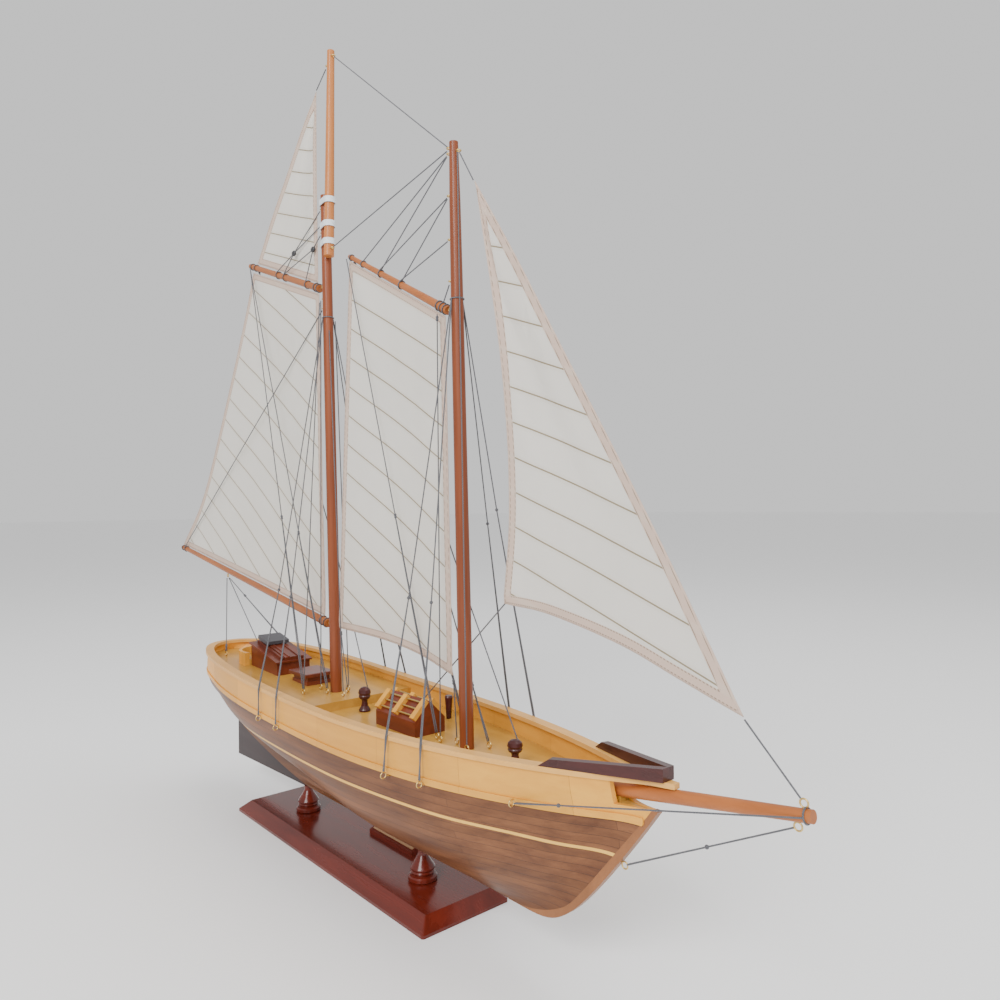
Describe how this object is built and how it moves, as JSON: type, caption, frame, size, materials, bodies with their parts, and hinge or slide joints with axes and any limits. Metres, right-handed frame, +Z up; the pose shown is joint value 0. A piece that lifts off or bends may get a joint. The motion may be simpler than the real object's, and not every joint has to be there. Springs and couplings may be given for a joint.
{
  "type": "model sailing ship",
  "caption": "Display model of a two-masted gaff schooner with sails, rigging and planked hull, standing on turned pedestals over a bevelled wooden board.",
  "frame": {"origin": "middle of the board's underside, which is the middle of the whole model's footprint", "axes": "+X towards the bow, +Y to port, +Z up"},
  "size_m": [0.8049, 0.1304, 0.6861],
  "materials": {
    "mahogany_stain": "gloss varnish",
    "stand_wood": "high gloss varnish",
    "plank_wood": "satin varnish",
    "bulwark_wood": "satin varnish",
    "rail_wood": "satin varnish",
    "deck_wood": "satin varnish",
    "stripe_wood": "satin varnish",
    "stem_wood": "satin varnish",
    "dark_wood": "satin varnish",
    "house_wood": "gloss varnish",
    "lid_paint": "satin paint",
    "mast_wood": "satin varnish",
    "spar_wood": "satin varnish",
    "topmast_wood": "satin varnish",
    "name_wood": "satin",
    "brass": "polished",
    "steel": "plain",
    "lashing_tape": "woven",
    "thread": "twisted",
    "block_paint": "gloss paint",
    "sailcloth": "woven"
  },
  "bodies": {
    "hull": {"base_board": "stand_wood", "pedestals": "stand_wood", "stand_screws": "steel", "name_block": "stand_wood", "name_plate": "name_wood", "hull_planking": "plank_wood", "hull_frames": "plank_wood", "keel_stem": "stem_wood", "skeg_plate": "dark_wood", "waterline_stripe": "stripe_wood", "rubbing_strake": "bulwark_wood", "main_deck": "deck_wood", "quarterdeck": "deck_wood", "bulwark_port": "bulwark_wood", "bulwark_starboard": "bulwark_wood", "cap_rail_port": "rail_wood", "cap_rail_starboard": "rail_wood", "bow_rails": "mahogany_stain", "cockpit_coaming": "bulwark_wood", "cockpit_seat": "deck_wood", "cabin_house": "house_wood", "cabin_roof": "house_wood", "cabin_slides": "house_wood", "cabin_lid": "lid_paint", "small_hatch_box": "house_wood", "small_hatch_lid": "house_wood", "skylight_box": "house_wood", "skylight_bars": "bulwark_wood", "skylight_rods": "brass", "deck_posts": "mahogany_stain", "deck_eyes": "brass", "chainplate_eyes": "brass", "mast_eyes": "brass", "main_lower_mast": "mast_wood", "main_topmast": "topmast_wood", "topmast_lashings": "lashing_tape", "fore_mast": "mast_wood", "bowsprit": "spar_wood", "bowsprit_chock": "deck_wood", "bowsprit_hooks": "brass", "jib": "sailcloth", "main_shrouds": "thread", "fore_shrouds": "thread", "mast_stays": "thread", "mast_falls": "thread", "bow_lines": "thread", "main_guys": "thread", "fore_guys": "thread"},
    "main_rig": {"main_boom": "spar_wood", "main_gaff": "spar_wood", "main_spar_eyes": "brass", "main_spar_loops": "thread", "peak_blocks": "block_paint", "mainsail": "sailcloth", "main_topsail": "sailcloth", "main_peak_lines": "thread"},
    "fore_rig": {"fore_gaff": "spar_wood", "fore_spar_eyes": "brass", "foresail": "sailcloth", "fore_peak_lines": "thread"}
  },
  "joints": [
    {"name": "main_swing", "type": "hinge", "parent": "hull", "child": "main_rig", "pos_m": [-0.0292, 0, 0.105], "axis": [-0.0262, 0, 0.9997], "range_deg": [-4, 4], "deforming": ["main_guys"]},
    {"name": "fore_swing", "type": "hinge", "parent": "hull", "child": "fore_rig", "pos_m": [0.1516, 0, 0.105], "axis": [-0.0196, 0, 0.9998], "range_deg": [-4, 1], "deforming": ["fore_guys"]}
  ]
}
